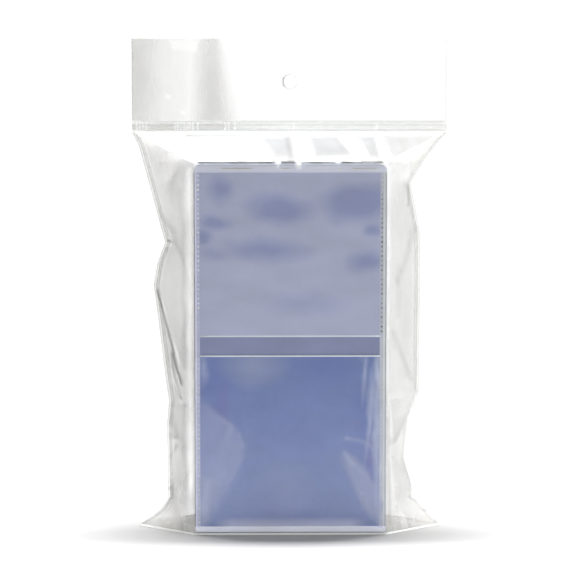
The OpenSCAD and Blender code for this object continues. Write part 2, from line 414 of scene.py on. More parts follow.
# Near-white, a painted highlight on the pocket mouths' rolled edges
EDGE_BEAD = plain_material("mouth_edge", srgb(238, 246, 255), 0.3)
KNURL_SHADED = plain_material("weld_dot_shade", srgb(120, 124, 118), 0.35)

# Meshes


def normals(grid):
    """Unit normals of a grid of points."""
    down = np.gradient(grid, axis=0)
    along = np.gradient(grid, axis=1)
    cross = np.cross(along, down)
    return cross / np.maximum(np.linalg.norm(cross, axis=2, keepdims=True), 1e-9)


def place_object(name, data):
    """A new object in the scene."""
    piece = bpy.data.objects.new(name, data)
    bpy.context.scene.collection.objects.link(piece)
    return piece


def add_mesh(name, points_mm, faces, material, smooth=True):
    mesh = bpy.data.meshes.new(name)
    mesh.from_pydata([tuple(p) for p in np.asarray(points_mm) * MM], [], [tuple(f) for f in faces])
    mesh.update()
    if smooth:
        mesh.polygons.foreach_set("use_smooth", [True] * len(mesh.polygons))
    mesh.materials.append(material)
    return place_object(name, mesh)


def give(piece, **values):
    """Sets the looks of a piece's film, as numbers for the whole piece or for each of its points."""
    looks = {"haze": 0.0, "mark": 0.0, "tone": 1.0, "sheen": 1.0, "cool": 0.0}
    looks.update(values)
    count = len(piece.data.vertices)
    for label, value in looks.items():
        layer = piece.data.attributes.new(label, "FLOAT", "POINT")
        layer.data.foreach_set("value", (np.zeros(count) + value).astype(np.float32))


def film(name, grid, material, keep=None, thickness=FILM_T, joined_x=None, **looks):
    """A thin shell round a grid of points, with a rim along every edge but one joined to another piece."""
    rows, columns = grid.shape[:2]
    across = normals(grid) * thickness / 2
    index = np.arange(rows * columns).reshape(rows, columns)
    if keep is None:
        keep = np.ones((rows - 1, columns - 1), bool)
    quads = np.stack([index[:-1, :-1], index[:-1, 1:], index[1:, 1:], index[1:, :-1]], axis=2)[keep]
    used = np.unique(quads)
    renumber = np.zeros(rows * columns, int)
    renumber[used] = np.arange(len(used))
    quads = renumber[quads]
    count = len(used)
    edges = {}
    for quad in quads:
        for k in range(4):
            a, b = int(quad[k]), int(quad[(k + 1) % 4])
            if (b, a) in edges:
                del edges[(b, a)]
            else:
                edges[(a, b)] = True
    if joined_x is not None:
        at_x = np.abs(grid.reshape(-1, 3)[used][:, 0] - joined_x) < 1e-4
        edges = [(a, b) for a, b in edges if not (at_x[a] and at_x[b])]
    rim = [(b, a, a + count, b + count) for a, b in edges]
    outer = (grid + across).reshape(-1, 3)[used]
    inner = (grid - across).reshape(-1, 3)[used]
    faces = [tuple(q) for q in quads] + [tuple(q[::-1] + count) for q in quads] + rim
    piece = add_mesh(name, np.vstack([outer, inner]), faces, material)
    on_rim = np.ones(count)
    on_rim[[a for a, b in edges]] = RIM_SHEEN
    spread = {"sheen": np.concatenate([on_rim, on_rim])}
    for label, value in looks.items():
        limited = np.clip(np.asarray(value, float), 0, LOOK_LIMIT)
        values = np.broadcast_to(limited, (rows, columns)).reshape(-1)[used]
        values = values * on_rim if label == "sheen" else values
        spread[label] = np.concatenate([values, values])
    give(piece, **spread)
    return piece


def unit(values):
    """Values clipped to 0 and 1."""
    return np.clip(values, 0, 1)


def smooth(share):
    """A share clipped to 0 and 1, with soft ends."""
    share = unit(share)
    return share * share * (3 - 2 * share)


def soft_polygon(x, z, places, softness):
    """1 inside a convex outline of (x, z) places, falling softly to 0 at its edge."""
    depth = np.full(np.shape(x), 1e9)
    middle_x, middle_z = np.mean([p[0] for p in places]), np.mean([p[1] for p in places])
    for (ax, az), (bx, bz) in zip(places, places[1:] + places[:1]):
        length = math.hypot(bx - ax, bz - az)
        inward = ((bx - ax) * (middle_z - az) - (bz - az) * (middle_x - ax)) / length
        distance = ((bx - ax) * (z - az) - (bz - az) * (x - ax)) / length * np.sign(inward)
        depth = np.minimum(depth, distance)
    return smooth(depth / softness)


def near_line(x, z, path, width):
    """1 on a path of (x, z) places, falling softly to 0 at a width from it."""
    best = np.full(np.shape(x), 1e9)
    for (ax, az), (bx, bz) in zip(path[:-1], path[1:]):
        length = max((bx - ax) ** 2 + (bz - az) ** 2, 1e-9)
        along = unit(((x - ax) * (bx - ax) + (z - az) * (bz - az)) / length)
        best = np.minimum(best, np.hypot(x - ax - along * (bx - ax), z - az - along * (bz - az)))
    return smooth(1 - best / width)


def ribbon(path, out, height):
    """A closed three-sided rib along a path of points on the floor plan, its face turned up and outwards."""
    path = np.array(path, float)
    along = np.gradient(path, axis=0)
    along /= np.linalg.norm(along, axis=1, keepdims=True)
    outward = np.stack([along[:, 1], -along[:, 0], np.zeros(len(path))], axis=1) * out
    points = np.stack([path, path + outward, path + (0, 0, height)], axis=1).reshape(-1, 3)
    faces = []
    for k in range(len(path) - 1):
        for s in range(3):
            a, b = 3 * k + s, 3 * k + (s + 1) % 3
            faces.append((a, a + 3, b + 3, b))
    faces.append((0, 1, 2))
    faces.append((3 * len(path) - 1, 3 * len(path) - 2, 3 * len(path) - 3))
    return points, faces


def merge(parts):
    """Several lists of points and faces as one."""
    points, faces = [], []
    for own_points, own_faces in parts:
        shift = len(points)
        points += list(own_points)
        faces += [tuple(i + shift for i in face) for face in own_faces]
    return points, faces


def waves(grid, scale, stretch, seed):
    """Smooth noise from -1 to 1 at a grid's places."""
    values = []
    for x, y, z in grid.reshape(-1, 3):
        values.append(noise.noise(Vector((x / scale, z / scale * stretch, seed + 0.15 * y / scale))))
    return np.array(values).reshape(grid.shape[:2])


# Creases in the film, as places (x, z) with their height, width, veil as painted shade and whiteness as painted
# highlight
FIN_CREASES = (
    (((-34.8, 78.3), (-30.6, 77.5)), 0, 0.4, 0.2, 0),
    (((-36, 64.8), (-34.6, 60.7), (-33.3, 55.9), (-32, 51.3), (-31, 48.1), (-29.8, 44.1),
      (-28.5, 40.1)), 0.4, 0.65, 0.26, 0),
    (((-31.5, 47.5), (-30.6, 41.2), (-29.4, 35.7)), 0.4, 0.9, 0.12, 0),
    (((-28.6, 92), (-28.6, 81.2), (-28.4, 74.7), (-28.5, 63.5)), 0.3, 1.3, 0.06, 0),
    (((-28.4, 62), (-28, 56.6), (-28.3, 50.9), (-27.7, 44.8)), 0.3, 1.3, 0.08, 0),
    (((-28.4, 40), (-28.2, 25), (-28.3, 8)), 0.3, 1.2, 0.05, 0),
    (((-25.75, 97), (-25.75, 4)), 0, 0.35, 0.07, 0),
    (((-30, 22.4), (-33.1, 18.1)), 0.3, 0.8, 0.1, 0),
    (((-33.3, 24.4), (-29.6, 25.1)), 0.3, 0.8, 0.08, 0),
    (((-32.2, 11.2), (-32, 8)), 0.3, 0.8, 0.12, 0),
    (((27.9, 98.6), (27.1, 96.7)), 0.3, 0.8, 0, 0.6),
    (((2.2, 99.4), (2.1, 98.2)), 0.05, 0.9, 0, 2.4),
    (((-3.4, 99.4), (-3.4, 98.6)), 0.05, 0.5, 0, 2),
    (((30.9, 100.6), (32.1, 94.2)), 0.5, 1, 0, 0.6),
    (((31.8, 93.1), (31.5, 87.5)), 0.4, 0.9, 0.12, 0),
    (((28.6, 71.4), (28.7, 58.1)), 0.3, 1.6, 0.05, 0),
    (((32.1, 31.3), (27.5, 24.6)), 0.5, 1.6, 0.08, 0),
    (((32.4, 15), (33.5, 11.3)), 0.3, 0.7, 0.16, 0),
    (((25.9, 31), (26.2, 20), (26.7, 3)), 0, 1.1, 0.08, 0),
)
REAR_CREASES = (
    (((-37, 88), (-31, 80), (-28, 70)), 0.5, 1.3, 0.1, 0),
    (((34, 82), (29.5, 66)), 0.5, 1.3, 0.08, 0),
    (((33, 40), (28.5, 52)), 0.4, 1.2, 0.08, 0),
    (((-33, 30), (-28, 18)), 0.4, 1.2, 0.08, 0),
    (((-12, 70), (4, 30)), 0.12, 1.6, 0.02, 0),
    (((15, 88), (9, 60)), 0.12, 1.6, 0.02, 0),
)
# The fins' veil
FIN_HAZE = {LEFT: 0.25, RIGHT: 0.22}
# Painted reflections on the bag's face over the lower pocket, as convex outlines of milky veil with their softness
# and veil
FACE_REFLECTIONS = (
    (((-26, 38), (-20, 34.6), (-12.5, 28.5), (-10.9, 24.4), (-12.7, 19), (-21.7, 3.4),
      (-26, 1)), 2.2, 0.15),
    (((-26, 17), (-17, 15), (-22, 3), (-26, 1)), 2.2, 0.1),
    (((12.7, 22.4), (14.4, 23.6), (18.4, 21), (21.6, 17.4), (24.4, 13), (25.6, 8), (25.4, 1),
      (23.4, 1.5), (19.2, 5.8), (16.2, 10.8)), 2.2, 0.27),
    (((22, 36), (26, 38), (26, 1), (23, 2)), 1.5, 0.09),
)
# Streaks across the painted reflections, as paths with their width and veil
REFLECTION_STREAKS = (
    (((-22.3, 3), (-17, 13), (-12.4, 21.5)), 1, 0.05),
    (((-23, 11), (-18.5, 22), (-15.5, 30)), 1.2, 0.04),
    (((-18.6, 31.5), (-15.2, 29.2)), 0.8, 0.1),
    (((-24.4, 38), (-21.5, 34), (-21, 30)), 1.4, 0.06),
    (((12.4, 21.5), (16.5, 15), (20.4, 8), (24, 2.5)), 1.2, 0.04),
    (((14.8, 26), (18, 25.6), (21.6, 23.6)), 1, 0.14),
    (((19.3, 47), (20.3, 38), (21.9, 22), (23.6, 12)), 0.6, 0.06),
)
# Painted highlights, made by thinning the veil, along the fins' inner edges and creases: path, width, strength
EDGE_LIGHTS = (
    (((-26.6, 97), (-26.6, 60), (-26.6, 37.5), (-26.5, 25.4), (-26.4, 1)), 1.4, 0.85),
    (((26.2, 98), (26.2, 53)), 0.8, 0.9),
    (((26.2, 53), (26, 34)), 0.8, 0.9),
    (((26.8, 34), (26.9, 23)), 0.8, 0.6),
    (((29.5, 104), (29, 92)), 1.2, 0.4),
    (((-35, 77.1), (-31, 76.7)), 0.9, 1.2),
    (((-35.4, 64.4), (-33.8, 60.4), (-32.5, 55.6), (-31.2, 51), (-30.2, 47.6), (-29, 43.6)), 0.5, 0.8),
    (((-31.5, 27), (-31, 14)), 1, 0.3),
)


def wall_grid(face):
    """One wall of the bag: fin, face and fin, with only the fins above the lip's hinge."""
    below = np.linspace(0.05, HINGE_Z, 165)
    above = np.linspace(HINGE_Z, SEAM_TOP_Z, 15)[1:]
    heights = np.concatenate([below, above])
    fin = np.linspace(0, 1, 36) ** 0.9
    middle = np.linspace(-FOLD_X, FOLD_X, 90)[1:-1]
    count = len(fin)
    grid = np.zeros((len(heights), 2 * count + len(middle), 3))
    grid[:, :, 2] = heights[:, None]
    grid[:, count:-count, 0] = middle
    grid[:, count:-count, 1] = FACE_Y[face]
    share = np.maximum(0.0, (heights - HINGE_Z) / CREASE_RISE)[:, None]
    inner_x = FOLD_X + (HALF_W - FOLD_X) * share
    inner_y = FACE_Y[face] + (MOUTH_Y + face * PLY_MIDDLE - FACE_Y[face]) * share
    edge_y = MOUTH_Y + face * FILM_T / 2
    for side, steps, own in ((LEFT, fin, slice(0, count)), (RIGHT, fin[::-1], slice(-count, None))):
        outer_x = np.maximum(seam_x(side, heights)[:, None] - SEAM_W * 0.4, inner_x + 0.05)
        grid[:, own, 0] = side * (outer_x + (inner_x - outer_x) * steps)
        grid[:, own, 1] = edge_y + (inner_y - edge_y) * steps
    keep = np.ones((len(heights) - 1, grid.shape[1] - 1), bool)
    keep[len(below) - 1:, count - 1:-count + 1] = False
    return grid, keep, count


def fin_veil(grid, seed):
    """The fins' veil: uneven, thinner at the seam, stronger near the floor and at the right shoulder."""
    x, z = grid[:, :, 0], grid[:, :, 2]
    bands = 0.07 * waves(grid, 3.4, 0.1, seed + 30) + 0.09 * waves(grid, 9.0, 0.5, seed + 33)
    veil = np.where(x < 0, FIN_HAZE[LEFT], FIN_HAZE[RIGHT]) + bands
    to_edge = np.where(x < 0, seam_x(LEFT, z), seam_x(RIGHT, z)) - np.abs(x)
    veil *= 0.6 + 0.4 * unit((to_edge - 0.8) / 1.4)
    veil *= np.interp(z, (0, 22, 40, 90, 100), (1.15, 1.0, 0.74, 0.7, 1.0))
    upper_right = unit((z - 88) / 6) * (x > 0)
    veil *= 1 + upper_right * np.interp(np.abs(x), (27, 29, 35), (-0.6, -0.3, 0.7))
    return veil


def edge_clearing(grid, face, seed):
    """The share of the veil that the painted highlights leave, fainter near the floor."""
    x, z = grid[:, :, 0], grid[:, :, 2]
    spread = 1.0 if face == FRONT else 1.04
    uneven = 0.8 + 0.5 * waves(grid, 4.0, 0.6, seed + 11)
    left = np.ones_like(x)
    for path, width, white in EDGE_LIGHTS:
        line = near_line(x / spread, z, path, width * spread) * uneven
        left *= 1 - unit(white * line) * unit(0.35 + z / 22)
    return left


def face_reflection(grid, seed):
    """The painted reflections and their streaks over the lower pocket, as milky veil."""
    x, z = grid[:, :, 0], grid[:, :, 2]
    uneven = 0.85 + 0.5 * waves(grid, 5.0, 0.35, seed + 40)
    total = np.zeros_like(x)
    for outline, softness, veil in FACE_REFLECTIONS:
        total += veil * soft_polygon(x, z, outline, softness) * uneven
    for path, width, veil in REFLECTION_STREAKS:
        total += veil * near_line(x, z, path, width)
    return total


def build_wall(face, name, replaced, creases, seed):
    """One wall of the bag with its two fins, their waves, creases and veils."""
    grid, keep, fin_count = wall_grid(face)
    x, z = grid[:, :, 0], grid[:, :, 2]
    fin_share = np.zeros(grid.shape[1])
    fin_share[:fin_count] = np.sin(np.pi * np.linspace(0, 1, fin_count))
    fin_share[-fin_count:] = np.sin(np.pi * np.linspace(1, 0, fin_count))
    is_fin = np.zeros(grid.shape[1])
    is_fin[:fin_count] = 1
    is_fin[-fin_count:] = 1
    ends = unit(z / 4) * unit((SEAM_TOP_Z - z) / 6)
    ramp = np.where(is_fin > 0, np.maximum(fin_share, 0.25), 1.0)
    move = (np.abs(waves(grid, 10.0, 0.6, seed)) * 2.2 - 0.5) * fin_share * ends
    move += waves(grid, 4.5, 0.4, seed + 7) * 0.1 * fin_share * ends
    move += np.abs(waves(grid, 14.0, 0.8, seed + 3)) * 0.1 * (1 - is_fin) * ends
    haze = np.where(is_fin > 0, fin_veil(grid, seed), 0.012 + 0.018 * unit((z - 50) / 8))
    mark = np.zeros_like(x)
    tone = np.ones_like(x)
    cool = np.zeros_like(x) + (1 - is_fin)
    for path, rise, width, veil, white in creases:
        # A crease's veil is painted shade, its whiteness a painted highlight
        line = near_line(x, z, path, width)
        move += rise * near_line(x, z, path, width * 1.4) * ramp * ends
        haze += veil * line
        tone -= 4.5 * veil * line
        haze *= 1 - 0.9 * np.minimum(1, 1.6 * white * line)
        mark += 0.4 * white * line
    haze *= edge_clearing(grid, face, seed)
    if face == FRONT:
        haze += face_reflection(grid, seed) * (1 - is_fin)
        # Painted glints: white specks along the ears' bottom edges
        ears = unit(1 - (z + 0.25 * (np.abs(x) - 36)) / 3.0) * is_fin
        mark += 0.25 * ears * unit(waves(grid, 0.8, 1.0, seed + 5) * 3 - 0.9)
    grid = grid - face * normals(grid) * move[:, :, None]
    if face == REAR:
        grid, keep = grid[:, ::-1], keep[:, ::-1]
        haze, mark, tone, cool = haze[:, ::-1], mark[:, ::-1], tone[:, ::-1], cool[:, ::-1]
    piece = film(name, grid, FILM, keep, haze=haze, mark=mark, tone=tone, cool=cool)
    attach(piece, "bag")
    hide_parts(replaced)


build_wall(FRONT, "front_wall", "front_film", FIN_CREASES, 1.3)
build_wall(REAR, "rear_wall", "rear_film", REAR_CREASES, 20.7)


def build_floor(face, name, replaced):
    """One half of the folded bottom, flat under the flips and out into the ears."""
    share = np.linspace(0, 1, 16)[:, None]
    columns = np.linspace(-1, 1, 110)
    reach = np.where(columns < 0, seam_x(LEFT, 0), seam_x(RIGHT, 0)) - 0.6
    grid = np.zeros((len(share), len(columns), 3))
    grid[:, :, 0] = columns * (FOLD_X + (reach - FOLD_X) * share)
    grid[:, :, 1] = FACE_Y[face] + (MOUTH_Y + face * 0.1 - FACE_Y[face]) * share
    grid[:, :, 2] = FILM_T / 2 + 0.01
    if face == FRONT:
        grid = grid[:, ::-1]
    piece = film(name, grid, FILM, haze=0.4)
    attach(piece, "bag")
    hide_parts(replaced)


build_floor(FRONT, "front_bottom_flap", "front_film")
build_floor(REAR, "rear_bottom_flap", "rear_film")


def build_bottom_fold(face, name):
    """The fold along the bottom edge of a wall, from ear to ear, painted white as a highlight."""
    ears = [(side * (seam_x(side, 0) - 0.3), MOUTH_Y + face * 0.15) for side in (LEFT, RIGHT)]
    stops = [ears[0], (-FOLD_X, FACE_Y[face]), (FOLD_X, FACE_Y[face]), ears[1]]
    if face == REAR:
        stops = stops[::-1]
    path = []
    for (ax, ay), (bx, by) in zip(stops[:-1], stops[1:]):
        path += [(ax + (bx - ax) * t, ay + (by - ay) * t, 0.0) for t in np.linspace(0, 1, 24)[:-1]]
    path.append((*stops[-1], 0.0))
    piece = add_mesh(name, *ribbon(path, 0.3, 0.5), WELD, smooth=False)
    give(piece, haze=0.3, mark=0.95)
    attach(piece, "bag")


build_bottom_fold(FRONT, "front_bottom_fold")
build_bottom_fold(REAR, "rear_bottom_fold")


# The veil of each side seam, and what its outer rim adds to it, a darker outline of painted shade
SEAM_HAZE = {LEFT: (0.22, 0.12), RIGHT: (0.16, 0.05)}


def build_seam(side, name):
    """A welded side seam with white specks of painted glint in it and painted shade along its outer rim."""
    heights = np.linspace(0.0, SEAM_TOP_Z, 240)
    steps = np.array([0.0, 0.2, 0.4, 0.6, 0.78, 0.9, 1.0])
    grid = np.zeros((len(heights), len(steps), 3))
    outer = seam_x(side, heights)
    grid[:, :, 0] = side * (outer[:, None] - SEAM_W * (1 - steps))
    grid[:, :, 1] = MOUTH_Y
    grid[:, :, 2] = heights[:, None]
    if side == LEFT:
        grid = grid[:, ::-1]
    sway = waves(grid, 6.0, 0.6, 31.0 + side) * 0.05
    ends = unit(heights / 3) * unit((SEAM_TOP_Z - heights) / 5)
    grid[:, :, 1] += sway * ends[:, None]
    specks = unit(waves(grid, 0.9, 1.0, 3.0 + side) * 3 - 0.7)
    low = unit(1 - heights / 16)[:, None]
    mark = specks * (0.08 + 0.7 * low)
    rim = unit(1 - (outer[:, None] - np.abs(grid[:, :, 0])) / 0.35)
    plain, at_rim = SEAM_HAZE[side]
    haze = plain + at_rim * rim
    piece = film(name, grid, WELD, thickness=0.2, haze=haze, mark=mark, tone=1 - 0.45 * rim)
    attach(piece, "bag")
    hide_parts("side_seams")


build_seam(LEFT, "left_side_seam")
build_seam(RIGHT, "right_side_seam")

# The mouth: shoulders, header and zip


def blend_lip(piece):
    """Moves a piece of the mouth's placement into its mesh."""
    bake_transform(piece)


# Side of the grid's cells round the hanging hole, and the place where a lip's two halves meet
CELL = HOLE_R / 4 * 1.05
SPLIT_X = -10 * CELL


def mouth_columns(side):
    """Columns of a lip's half, as distances from the hole, with whole steps beside it."""
    if side == RIGHT:
        return np.concatenate([np.arange(-10, math.floor(HALF_W / CELL)) * CELL, [HALF_W]])
    return np.linspace(-HALF_W, SPLIT_X, 116)


# Painted glints across the zip's grey band, made by thinning the veil, as places along x
GLINT_TICKS = (-41.1, -40.3, -39.5, -38.6, -30.9, -30.1, -29.3, -28.4, -27.6, -26.8, -26.0, -24.7, -17.4,
         -16.4, -14.8, 1.1, 23.2)
# Painted shade in the shoulder: soft grey fields, as convex outlines with their softness and veil
SHOULDER_SHADE = (
    (((-9.5, 106.2), (0.6, 106.2), (1.6, 99.4), (-4.4, 99.6)), 1.9, 0.13),
    (((-2.2, 106.2), (0.8, 106.2), (1.8, 99.4), (-0.8, 99.4)), 1, 0.08),
    (((3.9, 106.4), (12.9, 106.9), (18, 100.2), (6, 99.6)), 2, 0.17),
    (((16.4, 106.4), (23.4, 106.4), (24.2, 99.4), (20.6, 99.6)), 1.6, 0.19),
    (((23.6, 106.8), (41, 107.3), (35.5, 98.4), (26, 99.2)), 2.2, 0.12),
    (((-28, 106.4), (-13, 106.2), (-13, 105.4), (-28, 105.6)), 0.4, 0.24),
)
# Where the painted shade along the film's fold over the stack's top edge is broken by a bright crease
FOLD_BREAKS = (-3.4, 2.2, 12.6)
# Painted highlights along bright folds between the grey fields, as paths with their width
SHOULDER_LIGHTS = (
    (((3.2, 105), (2.2, 99)), 1.2),
    (((14.9, 106.8), (19.6, 100.4)), 1.1),
)


def header_reflection(x, z):
    """The grey reflection on the header's left third, painted as veil, with painted highlights where it is
    cleared.
    """
    left = np.interp(x, (-42.4, -39.0, -34.0, -29.0, -24.0), (0.43, 0.35, 0.17, 0.1, 0.0))
    middle = -20.8 + (z - 121) * 0.03
    across = np.where(x < middle, (middle - x) / 8.0, (x - middle) / (8.6 - (z - 111) * 0.27))
    second = smooth(1 - across) * (0.31 + 0.13 * unit((131 - z) / 20))
    bright = soft_polygon(x, z, ((-33.0, 132.5), (-23.5, 132.5), (-24.5, 128.0), (-32.0, 128.5)), 1.5)
    bright = np.maximum(bright, near_line(x, z, ((-33.0, 116.9), (-32.4, 116.6)), 1.1))
    bright = np.maximum(bright, near_line(x, z, ((-29.0, 112.5), (-28.4, 112.3)), 0.9))
    return np.maximum(left, second) * (1 - 0.75 * bright)


def lip_grid(face, side):
    """Shoulder, knee and header of one half of a lip, from the hinge or the crease up to the top edge."""
    x = mouth_columns(side)
    ply_y = MOUTH_Y + face * PLY_MIDDLE
    shoulder = np.linspace(0, 1, 22)
    above_knee = np.arange(1, math.ceil((HOLE_Z - KNEE_Z) / CELL)) * CELL
    up_to_hole = HOLE_Z - above_knee[::-1]
    up_to_hole = up_to_hole[up_to_hole > KNEE_Z + 0.2]
    over_hole = HOLE_Z + np.arange(0, math.ceil((TOP_Z - HOLE_Z) / CELL)) * CELL
    over_hole = over_hole[over_hole < TOP_Z - 0.2]
    header = np.concatenate([up_to_hole, over_hole, [TOP_Z]])
    share = unit((np.abs(x) - FOLD_X) / (HALF_W - FOLD_X))
    start_y = FACE_Y[face] + (ply_y - FACE_Y[face]) * share
    start_z = HINGE_Z + CREASE_RISE * share
    count = len(shoulder)
    grid = np.zeros((count + len(header), len(x), 3))
    grid[:, :, 0] = x
    grid[:count, :, 1] = start_y + (ply_y - start_y) * shoulder[:, None]
    grid[count:, :, 1] = ply_y
    grid[:count, :, 2] = start_z + (KNEE_Z - start_z) * shoulder[:, None]
    grid[count:, :, 2] = header[:, None]
    return grid, count


def cell_middles(values):
    return (values[:-1, :-1] + values[1:, 1:]) / 2


def open_hole(grid, keep, shift):
    """Leaves out the cells in the hanging hole and moves those round it onto its circle."""
    dx, dz = grid[:, :, 0], grid[:, :, 2] - HOLE_Z
    reach = np.maximum(np.abs(dx), np.abs(dz))
    inner, outer = 4 * CELL, 8 * CELL
    share = unit((reach - inner) / (outer - inner))
    radius = np.maximum(np.hypot(dx, dz), 1e-6)
    round_x, round_z = dx / radius * HOLE_R, dz / radius * HOLE_R
    near = (reach < outer) & (reach > 0.1)
    hole = (np.abs(cell_middles(dx)) < inner) & (np.abs(cell_middles(dz)) < inner)
    new_x = np.where(near, round_x + (dx - round_x) * share, dx)
    new_z = np.where(near, round_z + (dz - round_z) * share, dz)
    moved = grid.copy()
    moved[:, :, 0] = new_x + shift * unit(1 - reach / 12)
    moved[:, :, 2] = new_z + HOLE_Z
    return moved, keep & ~hole


def zip_band_veil(x, z):
    """The grey band along the zip, with painted glints where the veil is thinned."""
    band = unit((z - KNEE_Z - 0.35) / 0.3) * unit((ZIP_TOP_Z - 0.45 - z) / 0.3)
    ticks = np.zeros_like(x)
    for tick in GLINT_TICKS:
        ticks = np.maximum(ticks, unit(1.4 - np.abs(x - tick) / 0.28))
    grey = np.interp(x, (-42, -20, -12, 0, 42), (0.62, 0.58, 0.3, 0.18, 0.19)) * (1 - 0.75 * ticks)
    return grey * band


def crest_shade(grid, seed):
    """Painted shade along the film's fold over the stack's top edge."""
    x, z = grid[:, :, 0], grid[:, :, 2]
    fold = near_line(x, z, ((-24.0, 99.1), (24.0, 99.1)), 0.8)
    fold = fold * (0.85 + 0.4 * waves(grid, 3.0, 0.5, seed + 15))
    for place in FOLD_BREAKS:
        fold = fold * unit(np.abs(x - place) / 0.8 - 0.3)
    return unit(fold)


def dress_front_lip(grid, low, bulge, haze, tone, sheen, move, seed):
    """Adds the front lip's veils, the painted shade of its grey fields and of the fold over the stack, and painted
    highlights along bright creases, to its looks and relief, in place.
    """
    x, z = grid[:, :, 0], grid[:, :, 2]
    haze += header_reflection(x, z) * (z > ZIP_TOP_Z + 0.3)
    haze += zip_band_veil(x, z)
    uneven = 1 + 0.25 * waves(grid, 2.5, 0.5, seed + 9)
    for outline, softness, veil in SHOULDER_SHADE:
        field = soft_polygon(x, z, outline, softness) * low
        haze += veil * field * uneven
        tone -= 3 * field
        sheen *= 1 - unit(3 * field)
        move += 0.3 * field * bulge
    crest = crest_shade(grid, seed)
    haze += 0.8 * crest
    sheen *= 1 - crest
    tone -= 3 * crest
    for path, width in SHOULDER_LIGHTS:
        line = near_line(x, z, path, width)
        haze *= 1 - 0.9 * line
        move += 0.4 * line * bulge


def build_lip(face, side, name, replaced, seed):
    """One half of a lip: its shoulder, knee and header, with the hanging hole in the right one."""
    grid, shoulder_count = lip_grid(face, side)
    keep = np.ones((grid.shape[0] - 1, grid.shape[1] - 1), bool)
    if side == RIGHT:
        grid, keep = open_hole(grid, keep, 0.0 if face == FRONT else 0.3)
    x, z = grid[:, :, 0], grid[:, :, 2]
    row = np.arange(grid.shape[0])[:, None]
    low = row < shoulder_count
    bulge = np.sin(np.pi * unit(row / (shoulder_count - 1))) * low
    inside = unit((FOLD_X + 12 - np.abs(x)) / 14)
    move = bulge * inside * (0.5 + 0.5 * waves(grid, 7.0, 0.4, seed))
    in_header = unit((z - ZIP_TOP_Z - 1) / 4)
    near_hole = unit(np.hypot(x, z - HOLE_Z) / 6 - 0.5)
    move += in_header * near_hole * waves(grid, 11.0, 0.8, seed + 4) * 0.28
    haze = np.full_like(x, 0.012)
    tone = np.ones_like(x)
    sheen = np.ones_like(x)
    if face == FRONT:
        dress_front_lip(grid, low, bulge, haze, tone, sheen, move, seed)
    tone = unit(tone)
    border = np.minimum(HALF_W - np.abs(x), TOP_Z - z) * (z > ZIP_TOP_Z) + 9 * (z <= ZIP_TOP_Z)
    haze += 0.1 * unit(1 - border / 0.3)
    # A darker ring of painted shade round the hole's edge
    ring = np.hypot(x, z - HOLE_Z) < HOLE_R + 0.05
    haze = np.where(ring, 0.35, haze)
    tone = np.where(ring, 0.3, tone)
    outward = -face * normals(grid)
    outward[:, :, 0] *= np.abs(x - SPLIT_X) > 0.01
    grid = grid + outward * move[:, :, None]
    if face == REAR:
        grid, keep = grid[:, ::-1], keep[:, ::-1]
        haze, tone = haze[:, ::-1], tone[:, ::-1]
    piece = film(name, grid, FILM, keep, joined_x=SPLIT_X, haze=haze, tone=tone, sheen=sheen)
    blend_lip(piece)
    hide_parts(replaced)


build_lip(FRONT, LEFT, "front_lip_left", "front_mouth_film", 40.1)
build_lip(FRONT, RIGHT, "front_lip_right", "front_mouth_film", 41.9)
build_lip(REAR, LEFT, "rear_lip_left", "rear_mouth_film", 60.3)
build_lip(REAR, RIGHT, "rear_lip_right", "rear_mouth_film", 62.2)


def cut_across(made, place, **cleared):
    """Cuts a mesh across at a place along x, and gives what the cut made."""
    everything = made.verts[:] + made.edges[:] + made.faces[:]
    return bmesh.ops.bisect_plane(made, geom=everything, plane_co=(place * MM, 0, 0), plane_no=(1, 0, 0),
                                  **cleared)


def sliced_copy(node_name, name, low_x, high_x, step, material):
    """The part of a CAD node between two places along x, cut across at even steps along x."""
    made = bmesh.new()
    made.from_mesh(frame["nodes"][node_name].data)
    bmesh.ops.remove_doubles(made, verts=made.verts, dist=1e-7)
    for place, keep_right in ((low_x, True), (high_x, False)):
        if abs(place) < HALF_W - 1:
            cut = cut_across(made, place, clear_inner=keep_right, clear_outer=not keep_right)
            edges = [e for e in cut["geom_cut"] if isinstance(e, bmesh.types.BMEdge)]
            bmesh.ops.contextual_create(made, geom=edges)
    for place in np.arange(math.ceil(low_x / step) * step, high_x, step):
        cut_across(made, place)
    mesh = bpy.data.meshes.new(name)
    made.to_mesh(mesh)
    made.free()
    mesh.materials.clear()
    mesh.materials.append(material)
    return place_object(name, mesh)


def build_zip(node_name, stem):
    """The two halves of a zip strip."""
    for side, word, low, high in ((LEFT, "left", -HALF_W, SPLIT_X), (RIGHT, "right", SPLIT_X, HALF_W)):
        piece = sliced_copy(node_name, f"{stem}_{word}", low, high, 1.5, ZIP)
        give(piece, haze=0.01)
        blend_lip(piece)
        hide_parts(node_name)


build_zip("zip_rib_strip", "zip_rib")
build_zip("zip_socket_strip", "zip_socket")


def rod(path, radius_y, radius_z, sides=8):
    """Points and faces of a closed rod along x through a path of points."""
    points, faces = [], []
    turn = np.arange(sides) / sides * 2 * np.pi
    for x, y, z in path:
        points += [(x, y + radius_y * math.sin(a), z + radius_z * math.cos(a)) for a in turn]
    for k in range(len(path) - 1):
        for s in range(sides):
            a, b = k * sides + s, k * sides + (s + 1) % sides
            faces.append((a, a + sides, b + sides, b))
    faces.append(tuple(range(sides)))
    faces.append(tuple(range((len(path) - 1) * sides, len(path) * sides))[::-1])
    return points, faces


